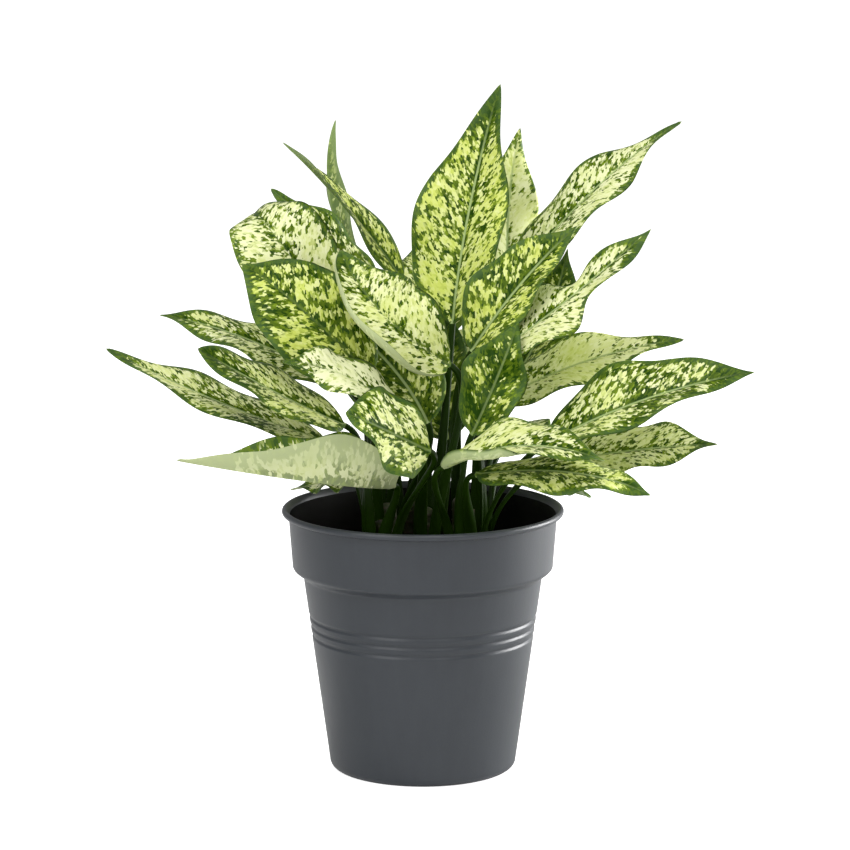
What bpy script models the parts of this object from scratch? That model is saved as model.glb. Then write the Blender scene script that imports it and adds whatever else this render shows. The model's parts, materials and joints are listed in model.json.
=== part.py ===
"""A Chinese evergreen in a plastic grower's pot: pot, soil, canes and leaves, in metres, +Z up.

The origin is the middle of the pot's foot. The plant faces -Y. Each leaf is one solid: a petiole that
stands beside its cane, then a blade whose midrib runs on from the petiole.
"""

import math
from collections import namedtuple

import bmesh
import bpy
import numpy as np
from mathutils import Matrix, Quaternion, Vector

# Pot
RIM_RADIUS = 0.085
POT_HEIGHT = 0.160
FOOT_RADIUS = 0.0565
WALL = 0.0016
LIP_DEPTH = 0.0042
FLARE_WIDTH = 0.0027
FLARE_DROP = 0.0010
COLLAR_TOP_RADIUS = 0.0810
COLLAR_BOTTOM_RADIUS = 0.0787
COLLAR_BOTTOM_Z = 0.1255
SHOULDER_Z = 0.1185
BODY_TOP_RADIUS = 0.0722
RING_GROOVES_Z = (0.0942, 0.0884, 0.0826)
GROOVE_WIDTH = 0.0034
GROOVE_DEPTH = 0.0009
FOOT_ROUND = 0.0040
FLOOR_THICKNESS = 0.0018
CHANNEL_HEIGHT = 0.0030
CHANNEL_INNER = 0.0270
CHANNEL_OUTER = 0.0450
POT_SEGMENTS = 38
DRAIN_HOLES = 6
DRAIN_RADIUS = 0.0045
DRAIN_CIRCLE = 0.0360

# Soil
SOIL_Z = 0.128
SOIL_GAP = 0.0007
SOIL_SEGMENTS = 32
SOIL_RINGS = (0.3, 0.6, 0.88)
SOIL_MOUND = 0.0040
SOIL_LUMPS = 0.0012

# Canes
CANE_RADIUS = 0.0062
CANE_BOTTOM_Z = 0.090
CANE_SIDES = 9
SCAR_SPACING = 0.013
SCAR_HEIGHT = 0.0005
HOLE_GAP = 0.0008

# Leaves
PETIOLE_FOOT_RADIUS = 0.0029
PETIOLE_TOP_RADIUS = 0.0019
PETIOLE_LEAN = 0.16
FOOT_REACH = 0.45
BLADE_REACH = 0.24
BLADE_THICKNESS = 0.0009
RIB_DEPTH = 0.0022
TIP_HALF_WIDTH = 0.0007
TIP_START = 0.62
WAIST_PLACE = 0.58
WAIST_LENGTH = 0.10
BRIM_TURN = 2.3
BRIM_FADE = 0.12
WAVES = 2.3
TOUCH_GAP = 0.0004
PETIOLE_STATIONS = (0.0, 0.22, 0.46, 0.70, 0.90)
BLADE_STATIONS = (0.0, 0.04, 0.11, 0.20, 0.30, 0.40, 0.50, 0.60, 0.70, 0.80, 0.89, 0.96, 1.0)
ACROSS = (-1.0, -0.5, 0.0, 0.5, 1.0)

Colour = namedtuple("Colour", "rgb roughness")
POT_GREY = Colour((0.085, 0.095, 0.105), 0.45)
PEAT = Colour((0.045, 0.030, 0.020), 0.95)
CANE_GREEN = Colour((0.20, 0.26, 0.08), 0.6)
LEAF_GREEN = Colour((0.42, 0.50, 0.22), 0.4)

# Each cane: where it stands in the soil, and how high it reaches.
CANES = {
    "left_front": (-0.024, -0.020, 0.156),
    "right_front": (0.024, -0.022, 0.156),
    "middle": (0.001, 0.000, 0.160),
    "left_back": (-0.022, 0.022, 0.158),
    "right_back": (0.030, 0.012, 0.156),
    "outer_back": (0.024, 0.043, 0.158),
    "back": (-0.007, 0.043, 0.156),
}

Leaf = namedtuple(
    "Leaf",
    "name cane foot_z foot_turn base middle tip width roll fold phase"
    " wave twist left right drawn waist brim_left brim_right brim_end",
    defaults=(0.003, 0, -0.16, -0.16, 0.4, 0.0, 0.0, 0.0, 1.0),
)
# base, middle and tip are points on the blade's midrib. Angles are in degrees: foot_turn is the
# petiole's place round its cane, roll turns the blade about the line from base to tip, twist adds to
# roll along the blade, and fold lifts both halves from the midrib. left and right are the heights to
# which the margins curl, as shares of half the width. wave is the height of the ripples in metres.
# drawn is how far the tip is drawn in, waist how much the blade narrows past its middle, and
# brim_left and brim_right are the shares of each half that are rolled up at the margin, which they
# are as far along the blade as brim_end.
LEAVES = (
    Leaf("tall", "middle", 0.148, 50, (0.018, 0.020, 0.268), (0.028, 0.038, 0.334),
         (0.047, 0.055, 0.410), 0.066, 5, 18, 0.1, left=-0.05, right=-0.05, drawn=0.5),
    Leaf("pale_back", "outer_back", 0.142, 350, (0.055, 0.062, 0.259), (0.052, 0.077, 0.322),
         (0.060, 0.089, 0.380), 0.044, 30, 12, 0.3),
    Leaf("high_right", "right_back", 0.137, 75, (0.057, 0.048, 0.294), (0.106, 0.062, 0.346),
         (0.158, 0.068, 0.386), 0.054, 17, 14, 0.0, drawn=0.85),
    Leaf("middle_right", "middle", 0.140, 0, (0.029, -0.010, 0.256), (0.057, -0.010, 0.295),
         (0.092, -0.004, 0.331), 0.048, 40, 24, 0.5, left=-0.05, right=-0.05),
    Leaf("wavy_right", "right_front", 0.138, 30, (0.044, -0.031, 0.260), (0.084, -0.030, 0.289),
         (0.135, -0.018, 0.331), 0.060, 20, 12, 0.3, wave=0.005, drawn=0.5, waist=0.45),
    Leaf("behind_right", "outer_back", 0.137, 28, (0.054, 0.068, 0.223), (0.077, 0.088, 0.261),
         (0.090, 0.098, 0.304), 0.054, 0, 14, 0.6),
    Leaf("flat_right", "right_back", 0.137, 308, (0.043, 0.004, 0.223), (0.098, 0.004, 0.248),
         (0.157, 0.006, 0.261), 0.050, 26, 14, 0.1, drawn=0.6),
    Leaf("big_right", "right_front", 0.137, 348, (0.073, -0.040, 0.206), (0.131, -0.055, 0.235),
         (0.194, -0.060, 0.252), 0.060, 30, 24, 0.4),
    Leaf("low_right", "right_back", 0.137, 350, (0.083, 0.020, 0.184), (0.132, 0.010, 0.193),
         (0.177, -0.005, 0.199), 0.052, 26, 14, 0.7),
    Leaf("lowest_right", "right_front", 0.137, 301, (0.031, -0.064, 0.192), (0.086, -0.085, 0.197),
         (0.132, -0.092, 0.185), 0.046, 18, 8, 0.3),
    Leaf("under_right", "right_back", 0.137, 30, (0.051, 0.050, 0.173), (0.079, 0.066, 0.161),
         (0.105, 0.076, 0.151), 0.044, 5, 14, 0.1),
    Leaf("folded_right", "right_front", 0.137, 225, (0.012, -0.070, 0.198), (0.057, -0.092, 0.214),
         (0.105, -0.102, 0.207), 0.056, 20, 14, 0.5, right=0.0, brim_right=0.35, brim_end=0.45),
    Leaf("front", "right_front", 0.140, 262, (0.029, -0.039, 0.211), (0.045, -0.045, 0.249),
         (0.056, -0.044, 0.279), 0.044, 65, 18, 0.2, drawn=0.8),
    Leaf("facing_left", "middle", 0.137, 305, (0.016, -0.034, 0.252), (-0.024, -0.052, 0.286),
         (-0.049, -0.024, 0.319), 0.060, -46, 14, 0.4, brim_left=0.45, drawn=0.1),
    Leaf("big_left", "left_front", 0.142, 185, (-0.030, -0.020, 0.242), (-0.072, -0.028, 0.285),
         (-0.107, -0.012, 0.309), 0.064, -58, 14, 0.1),
    Leaf("back_left", "left_back", 0.142, 240, (-0.047, 0.012, 0.263), (-0.087, 0.002, 0.323),
         (-0.102, 0.042, 0.332), 0.058, -50, 12, 0.6, drawn=-0.2),
    Leaf("thin_left", "middle", 0.137, 90, (-0.012, 0.030, 0.293), (-0.048, 0.028, 0.341),
         (-0.084, 0.022, 0.378), 0.044, -10, 16, 0.3, wave=0.001, twist=52),
    Leaf("narrow_left", "back", 0.144, 175, (-0.038, 0.092, 0.282), (-0.057, 0.104, 0.338),
         (-0.054, 0.108, 0.383), 0.036, 64, 20, 0.2, wave=0.001),
    Leaf("tip_left", "left_back", 0.140, 72, (-0.031, 0.052, 0.278), (-0.061, 0.062, 0.314),
         (-0.093, 0.066, 0.345), 0.046, -22, 14, 0.5),
    Leaf("out_left", "left_back", 0.137, 196, (-0.044, 0.020, 0.227), (-0.103, 0.030, 0.256),
         (-0.160, 0.032, 0.272), 0.054, -16, 12, 0.0, drawn=0.25),
    Leaf("far_left", "left_front", 0.137, 140, (-0.057, -0.012, 0.202), (-0.125, -0.020, 0.229),
         (-0.188, -0.022, 0.260), 0.052, -14, 14, 0.5, wave=0.002, drawn=0.1),
    Leaf("inner_left", "left_front", 0.137, 228, (-0.046, -0.030, 0.215), (-0.089, -0.042, 0.238),
         (-0.132, -0.048, 0.264), 0.053, -21, 14, 0.7, drawn=-1.0, wave=0.0015),
    Leaf("low_left", "left_front", 0.137, 270, (-0.017, -0.045, 0.182), (-0.064, -0.075, 0.191),
         (-0.143, -0.088, 0.205), 0.033, -6, 42, 0.2, drawn=0.8, left=0.95, right=0.6),
    Leaf("under_left", "left_back", 0.137, 150, (-0.036, 0.038, 0.169), (-0.053, 0.046, 0.167),
         (-0.082, 0.052, 0.160), 0.044, -10, 14, 0.1),
    Leaf("white_left", "middle", 0.137, 255, (-0.009, -0.058, 0.227), (-0.048, -0.078, 0.254),
         (-0.081, -0.084, 0.262), 0.041, -34, 12, 0.3),
    Leaf("front_left", "left_front", 0.137, 315, (0.004, -0.076, 0.208), (-0.023, -0.103, 0.226),
         (-0.044, -0.118, 0.238), 0.056, -56, 12, 0.6, twist=30),
    Leaf("inside_left", "left_back", 0.137, 318, (0.003, 0.006, 0.210), (-0.014, 0.009, 0.238),
         (-0.040, 0.016, 0.264), 0.046, -62, 14, 0.2),
    Leaf("inside_middle", "back", 0.140, 300, (0.016, 0.041, 0.194), (0.011, 0.041, 0.228),
         (0.016, 0.042, 0.269), 0.042, 4, 14, 0.8, drawn=-0.6),
    Leaf("rear_high", "back", 0.138, 50, (0.004, 0.086, 0.245), (0.004, 0.116, 0.282),
         (0.000, 0.150, 0.300), 0.056, 0, 14, 0.0),
    Leaf("rear_left", "left_back", 0.137, 110, (-0.040, 0.064, 0.236), (-0.068, 0.096, 0.262),
         (-0.096, 0.128, 0.272), 0.054, 0, 14, 0.5),
    Leaf("rear_right", "outer_back", 0.137, 104, (0.026, 0.088, 0.220), (0.040, 0.126, 0.244),
         (0.056, 0.164, 0.246), 0.052, 0, 14, 0.3),
    Leaf("rear_low_left", "back", 0.137, 135, (-0.020, 0.082, 0.198), (-0.034, 0.125, 0.214),
         (-0.048, 0.168, 0.206), 0.048, 0, 14, 0.6),
    Leaf("rear_low", "back", 0.137, 92, (-0.002, 0.088, 0.190), (-0.002, 0.134, 0.206),
         (0.000, 0.182, 0.196), 0.050, 0, 14, 0.1),
    Leaf("rear_low_right", "outer_back", 0.137, 66, (0.046, 0.078, 0.176), (0.058, 0.116, 0.188),
         (0.066, 0.156, 0.180), 0.048, 0, 14, 0.4),
)


def clear_scene():
    for obj in list(bpy.data.objects):
        bpy.data.objects.remove(obj, do_unlink=True)


def material(name, colour):
    made = bpy.data.materials.new(name)
    made.use_nodes = True
    shader = made.node_tree.nodes["Principled BSDF"]
    shader.inputs["Base Color"].default_value = (*colour.rgb, 1.0)
    shader.inputs["Roughness"].default_value = colour.roughness
    shader.inputs["Metallic"].default_value = 0.0
    made.diffuse_color = (*colour.rgb, 1.0)
    return made


def add_object(name, mesh, finish):
    obj = bpy.data.objects.new(name, mesh)
    bpy.context.scene.collection.objects.link(obj)
    mesh.materials.append(finish)
    mesh.shade_smooth()
    mesh.set_sharp_from_angle(angle=math.radians(40))
    return obj


def turned(name, profile, segments):
    """A closed solid turned about +Z from a closed outline of (radius, z) points."""
    bm = bmesh.new()
    points = [bm.verts.new((radius, 0.0, z)) for radius, z in profile]
    edges = [bm.edges.new((a, b)) for a, b in zip(points, points[1:] + points[:1])]
    bmesh.ops.spin(bm, geom=points + edges, cent=(0, 0, 0), axis=(0, 0, 1), angle=math.tau,
                   steps=segments, use_merge=True, use_duplicate=False)
    bmesh.ops.remove_doubles(bm, verts=bm.verts, dist=1e-6)
    bmesh.ops.recalc_face_normals(bm, faces=bm.faces)
    mesh = bpy.data.meshes.new(name)
    bm.to_mesh(mesh)
    bm.free()
    return mesh


def arc(centre_radius, centre_z, radius, start, end, steps):
    """Points on an arc in the (radius, z) plane, angles in degrees."""
    angles = [math.radians(start + (end - start) * k / steps) for k in range(steps + 1)]
    return [(centre_radius + radius * math.cos(a), centre_z + radius * math.sin(a)) for a in angles]


def body_radius(z):
    """Outer radius of the pot's plain tapered wall below the shoulder."""
    share = (z - FOOT_ROUND) / (SHOULDER_Z - FOOT_ROUND)
    return FOOT_RADIUS + share * (BODY_TOP_RADIUS - FOOT_RADIUS)


def groove(z):
    half = GROOVE_WIDTH / 2
    return [
        (body_radius(z - half), z - half),
        (body_radius(z) - GROOVE_DEPTH, z),
        (body_radius(z + half), z + half),
    ]


def inside_profile(clearance):
    """The wall's inner face from the lip down to the middle of the floor, set in by a clearance."""
    inset = WALL + clearance
    groove_inset = inset + GROOVE_DEPTH
    floor = CHANNEL_HEIGHT + FLOOR_THICKNESS + clearance
    return [
        (COLLAR_BOTTOM_RADIUS - inset, COLLAR_BOTTOM_Z),
        (BODY_TOP_RADIUS - inset, SHOULDER_Z - 0.001),
        (body_radius(RING_GROOVES_Z[0]) - groove_inset, RING_GROOVES_Z[0]),
        (body_radius(RING_GROOVES_Z[2]) - groove_inset, RING_GROOVES_Z[2]),
        (body_radius(floor + FOOT_ROUND) - inset, floor + FOOT_ROUND),
        (FOOT_RADIUS - FOOT_ROUND - clearance, floor),
        (CHANNEL_INNER - 0.0006 - clearance, floor),
        (CHANNEL_INNER - 0.0020 - clearance, FLOOR_THICKNESS + clearance),
        (0.0, FLOOR_THICKNESS + clearance),
    ]


def pot_profile():
    """The wall's outline: under the foot, up the outside, over the lip and down the inside."""
    outline = [
        (0.0, 0.0),
        (CHANNEL_INNER, 0.0),
        (CHANNEL_INNER + 0.0012, CHANNEL_HEIGHT),
        (CHANNEL_OUTER - 0.0012, CHANNEL_HEIGHT),
        (CHANNEL_OUTER, 0.0),
    ]
    outline += arc(FOOT_RADIUS - FOOT_ROUND, FOOT_ROUND, FOOT_ROUND, -90, 0, 3)
    for z in reversed(RING_GROOVES_Z):
        outline += groove(z)
    outline += [
        (BODY_TOP_RADIUS, SHOULDER_Z),
        (COLLAR_BOTTOM_RADIUS - 0.0022, SHOULDER_Z + 0.0030),
        (COLLAR_BOTTOM_RADIUS, COLLAR_BOTTOM_Z),
        (COLLAR_TOP_RADIUS, POT_HEIGHT - LIP_DEPTH),
    ]
    outline += arc(RIM_RADIUS - LIP_DEPTH / 2, POT_HEIGHT - LIP_DEPTH / 2, LIP_DEPTH / 2, -90, 80, 4)
    flare = [
        (RIM_RADIUS - FLARE_WIDTH, POT_HEIGHT - 0.0005),
        (COLLAR_TOP_RADIUS - WALL, POT_HEIGHT - LIP_DEPTH - FLARE_DROP),
    ]
    return outline + flare + inside_profile(0.0)


def disc_cutter(name, x, y, radius, low, high, sides):
    """A plain upright cylinder, used to cut a hole and left out of the object."""
    bm = bmesh.new()
    bmesh.ops.create_cone(bm, cap_ends=True, segments=sides, radius1=radius, radius2=radius,
                          depth=high - low, matrix=Matrix.Translation((x, y, (low + high) / 2)))
    mesh = bpy.data.meshes.new(name)
    bm.to_mesh(mesh)
    bm.free()
    obj = bpy.data.objects.new(name, mesh)
    obj.hide_render = True
    obj.display_type = "WIRE"
    return obj


def cut(obj, cutters, label):
    """Cuts every cutter from obj through one Boolean on a collection, which stays out of the render."""
    group = bpy.data.collections.new(label)
    for cutter in cutters:
        group.objects.link(cutter)
    bpy.context.scene.collection.children.link(group)
    group.hide_render = True
    modifier = obj.modifiers.new(label, "BOOLEAN")
    modifier.operation = "DIFFERENCE"
    modifier.operand_type = "COLLECTION"
    modifier.collection = group


def make_pot():
    """A thin turned wall with a rolled lip, a wide collar, three grooves and a drained foot."""
    obj = add_object("pot", turned("pot", pot_profile(), POT_SEGMENTS), material("pot", POT_GREY))
    holes = []
    for k in range(DRAIN_HOLES):
        angle = math.tau * (k + 0.5) / DRAIN_HOLES
        x, y = DRAIN_CIRCLE * math.cos(angle), DRAIN_CIRCLE * math.sin(angle)
        holes.append(disc_cutter(f"drain_{k}", x, y, DRAIN_RADIUS, -0.01, 0.02, 10))
    cut(obj, holes, "drain_holes")
    return obj


def soil_height(x, y):
    """The soil's top: a low mound in the middle, with lumps."""
    share = math.hypot(x, y) / COLLAR_BOTTOM_RADIUS
    lumps = math.sin(190 * x + 1.3) * math.cos(230 * y - 0.4) + 0.6 * math.sin(310 * (x + y))
    return SOIL_Z + SOIL_MOUND * (1 - share * share) + SOIL_LUMPS * lumps


def make_soil():
    """Peat that fills the pot to just below the collar's middle, with a plain hole for each cane."""
    edge = COLLAR_BOTTOM_RADIUS - WALL - SOIL_GAP
    side = inside_profile(SOIL_GAP)[1:]
    top_z = COLLAR_BOTTOM_Z + 0.0004
    top = [(edge * share, top_z) for share in SOIL_RINGS]
    mesh = turned("soil", [(0.0, top_z)] + top + [(edge, top_z)] + side, SOIL_SEGMENTS)
    for vertex in mesh.vertices:
        x, y, z = vertex.co
        if z > COLLAR_BOTTOM_Z:
            sunk = 0.001 if math.hypot(x, y) > 0.95 * edge else 0.0
            vertex.co.z = soil_height(x, y) - sunk
    obj = add_object("soil", mesh, material("soil", PEAT))
    radius = CANE_RADIUS + SCAR_HEIGHT + HOLE_GAP
    holes = [
        disc_cutter(f"hole_{name}", x, y, radius, CANE_BOTTOM_Z - HOLE_GAP, POT_HEIGHT, CANE_SIDES)
        for name, (x, y, _) in CANES.items()
    ]
    cut(obj, holes, "cane_holes")
    return obj


def make_cane(name, x, y, top_z):
    """A short green stem with ring scars where old leaves fell, ending in a blunt growing point."""
    profile = [(0.0, CANE_BOTTOM_Z), (CANE_RADIUS, CANE_BOTTOM_Z)]
    z = CANE_BOTTOM_Z + SCAR_SPACING
    while z < top_z - SCAR_SPACING:
        profile += [(CANE_RADIUS + SCAR_HEIGHT, z), (CANE_RADIUS, z + 0.0015)]
        z += SCAR_SPACING
    profile += [(CANE_RADIUS * 0.9, top_z - 0.005), (CANE_RADIUS * 0.5, top_z - 0.001), (0.0, top_z)]
    mesh = turned(f"cane_{name}", profile, CANE_SIDES)
    obj = add_object(f"cane_{name}", mesh, material(f"cane_{name}", CANE_GREEN))
    obj.location = (x, y, 0.0)
    return obj


def half_width(leaf, t):
    """Half the blade's width at the share t of its length: rounded base, drawn-in tip, perhaps a waist."""
    outline = max(math.sin(math.pi * t ** 0.75), 0.0) ** 0.8
    past = min(max((t - TIP_START) / (1 - TIP_START), 0.0), 1.0)
    waist = 1 - leaf.waist * math.exp(-(((t - WAIST_PLACE) / WAIST_LENGTH) ** 2))
    return max(0.5 * leaf.width * outline * (1 - leaf.drawn * past ** 1.3) * waist, TIP_HALF_WIDTH)


def bezier(points, t):
    """A point on a Bezier curve of two or three spans, and its direction."""
    points = [np.array(p, float) for p in points]
    slopes = [b - a for a, b in zip(points, points[1:])]
    while len(points) > 1:
        points = [a + (b - a) * t for a, b in zip(points, points[1:])]
    while len(slopes) > 1:
        slopes = [a + (b - a) * t for a, b in zip(slopes, slopes[1:])]
    return points[0], slopes[0] / np.linalg.norm(slopes[0])


def turn(vector, axis, angle):
    return np.array(Quaternion(Vector(axis), angle) @ Vector(vector))


def carried(across, before, after):
    """The across direction carried from one tangent to the next with the least turning."""
    return np.array(Vector(before).rotation_difference(Vector(after)) @ Vector(across))


def midrib(leaf):
    """Bezier points of the blade's midrib, which passes through its base, middle and tip."""
    base, middle, tip = (np.array(p) for p in (leaf.base, leaf.middle, leaf.tip))
    return [base, 2 * middle - (base + tip) / 2, tip]


def petiole(leaf):
    """Bezier points of the petiole, from beside its cane to the blade's base."""
    cane_x, cane_y, _ = CANES[leaf.cane]
    base = np.array(leaf.base)
    angle = math.radians(leaf.foot_turn)
    out = np.array([math.cos(angle), math.sin(angle), 0.0])
    stand_off = CANE_RADIUS + SCAR_HEIGHT + PETIOLE_FOOT_RADIUS + TOUCH_GAP
    foot = np.array([cane_x, cane_y, leaf.foot_z]) + out * stand_off
    length = np.linalg.norm(base - foot)
    _, blade_start = bezier(midrib(leaf), 0.0)
    rise = out * PETIOLE_LEAN + np.array([0.0, 0.0, 1.0])
    return [foot, foot + rise * length * FOOT_REACH, base - blade_start * length * BLADE_REACH, base]


def blade_height(leaf, t, s):
    """How far a blade point stands above the midrib: s runs from -1 to 1 across, t from 0 to 1 along."""
    half = half_width(leaf, t)
    lift = half * abs(s) * math.tan(math.radians(leaf.fold))
    curl = half * s * s * (leaf.right if s > 0 else leaf.left)
    side = 0.37 if s > 0 else 0.0
    ripple = leaf.wave * s * s * math.sin(math.tau * (WAVES * t + leaf.phase + side))
    return lift + curl + ripple * math.sin(math.pi * t) ** 0.5


def rolled(leaf, t, s):
    """Distance from the midrib and rise of a blade point, with its margin rolled up as a brim."""
    half = half_width(leaf, t)
    brim = (leaf.brim_right if s > 0 else leaf.brim_left) * half
    brim *= min(max((leaf.brim_end - t) / BRIM_FADE + 1, 0.0), 1.0)
    past = abs(s) * half - (half - brim)
    if brim == 0.0 or past <= 0.0:
        return s * half, 0.0
    radius = brim / BRIM_TURN
    side = half - brim + radius * math.sin(past / radius)
    return math.copysign(side, s), radius * (1 - math.cos(past / radius))


def blade_frames(leaf):
    """Middle point, along and across directions of the midrib at each blade station."""
    curve = midrib(leaf)
    chord = curve[2] - curve[0]
    chord /= np.linalg.norm(chord)
    level = np.cross(chord, (0.0, 0.0, 1.0))
    level /= np.linalg.norm(level)
    frames = []
    for t in BLADE_STATIONS:
        point, along = bezier(curve, t)
        across = turn(level, chord, math.radians(leaf.roll + leaf.twist * (t - 0.5)))
        across = across - along * across.dot(along)
        frames.append((point, along, across / np.linalg.norm(across)))
    return frames


def blade_rings(leaf):
    """Rings of upper and lower points along the blade. Thickness is measured square to its surface."""
    frames = blade_frames(leaf)
    surface = np.zeros((len(frames), len(ACROSS), 3))
    for i, (t, (point, along, across)) in enumerate(zip(BLADE_STATIONS, frames)):
        up = np.cross(across, along)
        for j, s in enumerate(ACROSS):
            sideways, rise = rolled(leaf, t, s)
            surface[i, j] = point + across * sideways + up * (blade_height(leaf, t, s) + rise)
    normals = np.cross(np.gradient(surface, axis=1), np.gradient(surface, axis=0))
    normals /= np.linalg.norm(normals, axis=2, keepdims=True)
    middle = ACROSS.index(0.0)
    rings = []
    for i, t in enumerate(BLADE_STATIONS):
        upper = surface[i] + normals[i] * BLADE_THICKNESS / 2
        lower = surface[i] - normals[i] * BLADE_THICKNESS / 2
        lower[middle] -= normals[i][middle] * RIB_DEPTH * (1 - t) ** 0.7
        rings.append(list(upper) + list(lower[::-1]))
    return rings, frames


def round_ring(point, along, across, radius):
    """A ring of the petiole, with as many points as a blade ring and in the same order."""
    up = np.cross(across, along)
    count = 2 * len(ACROSS)
    angles = [math.pi * (1 - (k + 0.5) * 2 / count) for k in range(count)]
    return [point + radius * (across * math.cos(a) + up * math.sin(a)) for a in angles]


def make_leaf(leaf, finish):
    """One leaf: petiole rings that carry on as blade rings, closed at the foot and the tip."""
    rings, frames = blade_rings(leaf)
    point, along, across = frames[0]
    rings[0] = round_ring(point, along, across, PETIOLE_TOP_RADIUS)
    curve = petiole(leaf)
    stalk = []
    for t in reversed(PETIOLE_STATIONS):
        point, tangent = bezier(curve, t)
        across = carried(across, along, tangent)
        along = tangent
        radius = PETIOLE_FOOT_RADIUS + (PETIOLE_TOP_RADIUS - PETIOLE_FOOT_RADIUS) * t ** 0.7
        stalk.append(round_ring(point, along, across, radius))
    rings = stalk[::-1] + rings
    count = len(rings[0])
    points = [tuple(p) for ring in rings for p in ring]
    faces = []
    for i in range(len(rings) - 1):
        for k in range(count):
            a, b = i * count + k, i * count + (k + 1) % count
            c, d = b + count, a + count
            # The lower face takes the mirrored diagonal, so that both faces are split alike.
            faces += [(a, b, d), (b, c, d)] if k < count // 2 else [(a, b, c), (a, c, d)]
    last = len(points) - count
    faces += [(0, k + 1, k) for k in range(1, count - 1)]
    faces += [(last, last + k, last + k + 1) for k in range(1, count - 1)]
    mesh = bpy.data.meshes.new(f"leaf_{leaf.name}")
    mesh.from_pydata(points, [], faces)
    return add_object(f"leaf_{leaf.name}", mesh, finish)


def main():
    clear_scene()
    make_pot()
    make_soil()
    for name, (x, y, top_z) in CANES.items():
        make_cane(name, x, y, top_z)
    for leaf in LEAVES:
        make_leaf(leaf, material(f"leaf_{leaf.name}", LEAF_GREEN))


main()
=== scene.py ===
# %% [markdown]
# # A potted Chinese evergreen
#
# This lesson dresses a plain model of an aglaonema in a plastic grower's pot. The plain model, the frame, holds
# the pot, the soil, seven canes and 34 leaves at their true size. Here they get their finer shapes and their
# finishes. We load the frame first.

# %% Load the frame
import json
import math
from collections import namedtuple

import bmesh
import bpy
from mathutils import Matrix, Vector

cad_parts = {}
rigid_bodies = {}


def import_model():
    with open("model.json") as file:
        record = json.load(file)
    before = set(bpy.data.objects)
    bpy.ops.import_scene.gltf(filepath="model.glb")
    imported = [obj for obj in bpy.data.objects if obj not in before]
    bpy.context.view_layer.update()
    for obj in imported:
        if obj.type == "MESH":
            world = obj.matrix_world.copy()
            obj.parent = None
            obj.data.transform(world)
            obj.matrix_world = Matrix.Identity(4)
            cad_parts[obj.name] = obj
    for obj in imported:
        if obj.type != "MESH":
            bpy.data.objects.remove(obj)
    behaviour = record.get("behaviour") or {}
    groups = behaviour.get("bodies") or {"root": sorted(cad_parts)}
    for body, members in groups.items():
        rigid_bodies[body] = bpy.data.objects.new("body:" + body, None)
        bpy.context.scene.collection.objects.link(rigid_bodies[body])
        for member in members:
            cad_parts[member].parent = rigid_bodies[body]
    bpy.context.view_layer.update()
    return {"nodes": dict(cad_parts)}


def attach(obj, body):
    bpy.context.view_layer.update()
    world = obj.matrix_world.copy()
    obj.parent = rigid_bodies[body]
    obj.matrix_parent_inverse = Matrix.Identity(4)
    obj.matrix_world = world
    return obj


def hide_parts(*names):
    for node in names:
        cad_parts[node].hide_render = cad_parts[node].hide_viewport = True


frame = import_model()
print("frame nodes:", len(frame["nodes"]))

# %% [markdown]
# ## The camera
#
# The photograph looks at the plant from the front and slightly from above, from far away, so that the pot's
# sides hardly converge. A long lens at 2.3 m gives the same view. The focal length is worked out from how many
# pixels one metre covers at that distance.

# %% Place the camera
CAMERA_DISTANCE = 2.30
CAMERA_HEIGHT = 0.6195
AIM_HEIGHT = 0.210
CAMERA_X = 0.0013
IMAGE_PIXELS = 850
FOCAL_PIXELS = 3890.0
SENSOR_WIDTH = 36.0


def make_camera():
    data = bpy.data.cameras.new("camera")
    data.sensor_width = SENSOR_WIDTH
    data.lens = FOCAL_PIXELS * SENSOR_WIDTH / IMAGE_PIXELS
    camera = bpy.data.objects.new("camera", data)
    bpy.context.scene.collection.objects.link(camera)
    camera.location = (CAMERA_X, -CAMERA_DISTANCE, CAMERA_HEIGHT)
    pitch = math.atan2(CAMERA_HEIGHT - AIM_HEIGHT, CAMERA_DISTANCE)
    camera.rotation_euler = (math.pi / 2 - pitch, 0.0, 0.0)
    bpy.context.scene.camera = camera
    print(f"lens {data.lens:.1f} mm, looking down {math.degrees(pitch):.1f} degrees")


make_camera()

# %% [markdown]
# ## The studio
#
# The plant stands on a white floor that fades into a white background, as in a catalogue photograph. A large
# soft light hangs above it at the left, and a second one at the right brightens that side of the pot. The
# surroundings look white to the camera but give much less light than that. Otherwise light would reach between
# the stalks from all sides, and the shade there would be lost.

# %% Light the studio
WORLD_SEEN = 1.0
WORLD_LIGHT = 0.42
FLOOR_SEEN = 0.80
FLOOR_SIZE = 40.0

scene = bpy.context.scene
scene.view_settings.view_transform = "Standard"


def seen_or_lit(tree, seen, light):
    """One strength for what the camera sees directly, and another for the light that is given."""
    path = tree.nodes.new("ShaderNodeLightPath")
    choose = tree.nodes.new("ShaderNodeMapRange")
    choose.inputs["To Min"].default_value = light
    choose.inputs["To Max"].default_value = seen
    tree.links.new(path.outputs["Is Camera Ray"], choose.inputs["Value"])
    return choose.outputs[0]


def make_world():
    world = bpy.data.worlds.new("studio")
    world.use_nodes = True
    tree = world.node_tree
    background = tree.nodes["Background"]
    background.inputs["Color"].default_value = (1.0, 1.0, 1.0, 1.0)
    tree.links.new(seen_or_lit(tree, WORLD_SEEN, WORLD_LIGHT), background.inputs["Strength"])
    scene.world = world


def soft_light(name, place, aim, size, power):
    """A square area light at a place, turned towards a point."""
    data = bpy.data.lights.new(name, "AREA")
    data.shape = "SQUARE"
    data.size = size
    data.energy = power
    light = bpy.data.objects.new(name, data)
    light.location = place
    light.rotation_euler = (Vector(aim) - Vector(place)).to_track_quat("-Z", "Y").to_euler()
    scene.collection.objects.link(light)


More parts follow.
